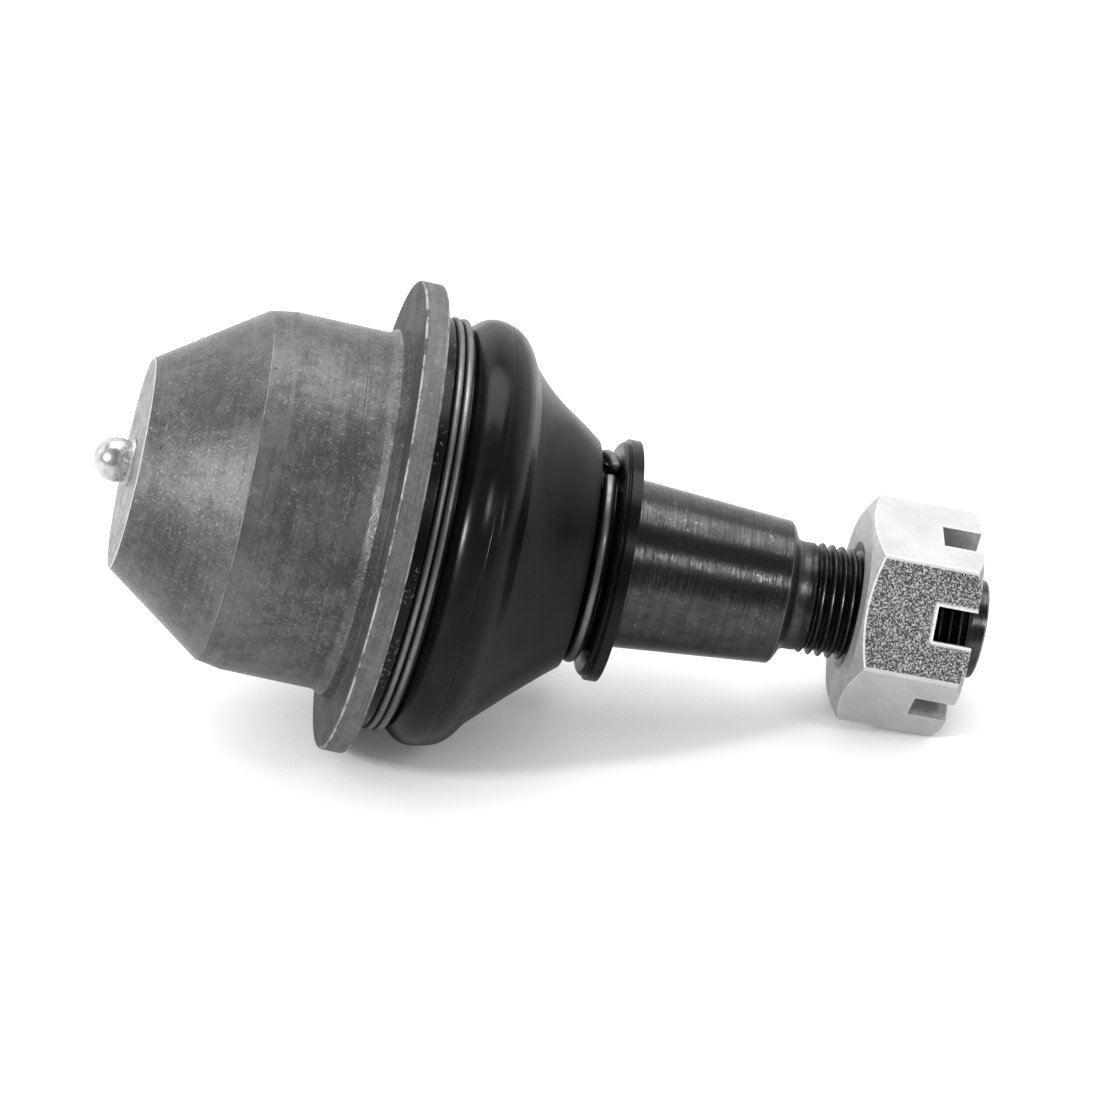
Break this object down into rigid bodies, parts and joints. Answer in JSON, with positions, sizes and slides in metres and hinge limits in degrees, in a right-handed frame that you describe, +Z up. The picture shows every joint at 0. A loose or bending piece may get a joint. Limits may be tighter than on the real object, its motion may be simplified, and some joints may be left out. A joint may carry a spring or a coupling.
{
  "type": "ball joint",
  "caption": "Press-in ball joint with a tapered stud, dust boot, grease fitting and castle nut.",
  "frame": {"origin": "on the floor that the joint rests on, under the middle of its bounding box", "axes": "+Z up as it lies, +X from the grease fitting towards the nut, the stud's plane of lean is Y = 0"},
  "size_m": [0.125, 0.067, 0.0654],
  "materials": {
    "phosphated_steel": "oiled phosphate, satin",
    "burnished_steel": "turned and burnished",
    "bright_steel": "bright",
    "spring_steel": "oiled",
    "black_wire": "glossy black",
    "sintered_bearing": "sintered, matt",
    "black_rubber": "satin",
    "zinc_plate": "bright zinc plate"
  },
  "bodies": {
    "housing": {"housing": "phosphated_steel", "closing_ring": "phosphated_steel", "snap_ring": "spring_steel", "bearing_ring": "sintered_bearing", "thrust_washer": "spring_steel", "disc_spring_inner": "spring_steel", "disc_spring_outer": "spring_steel", "grease_fitting_body": "bright_steel", "grease_check_spring": "spring_steel", "boot_clamp_ring": "bright_steel"},
    "swing_frame": {"bearing_cup": "sintered_bearing", "dust_boot": "black_rubber"},
    "neck_frame": {"boot_neck_ring": "black_wire"},
    "stud": {"ball_stud": "burnished_steel"},
    "nut": {"castle_nut": "zinc_plate"},
    "check_ball": {"grease_check_ball": "bright_steel"}
  },
  "joints": [
    {"name": "swing_plane", "type": "hinge", "parent": "housing", "child": "swing_frame", "pos_m": [-0.02343, 0, 0.03282], "axis": [0.9657, 0, -0.2597], "continuous": true},
    {"name": "stud_tilt", "type": "hinge", "parent": "swing_frame", "child": "neck_frame", "pos_m": [-0.02343, 0, 0.03282], "axis": [0.2597, 0, 0.9657], "range_deg": [-20, 20], "deforming": ["dust_boot"]},
    {"name": "stud_spin", "type": "hinge", "parent": "neck_frame", "child": "stud", "pos_m": [-0.02343, 0, 0.03282], "axis": [0.9734, 0, -0.2291], "continuous": true},
    {"name": "nut_travel", "type": "slide", "parent": "stud", "child": "nut", "axis": [0.9734, 0, -0.2291], "range_m": [-0.0095, 0.019]},
    {"name": "check_ball_travel", "type": "slide", "parent": "housing", "child": "check_ball", "axis": [0.9657, 0, -0.2597], "range_m": [0, 0.0006], "stiffness_N_per_m": 150, "springref_m": -0.001, "deforming": ["grease_check_spring"]}
  ]
}
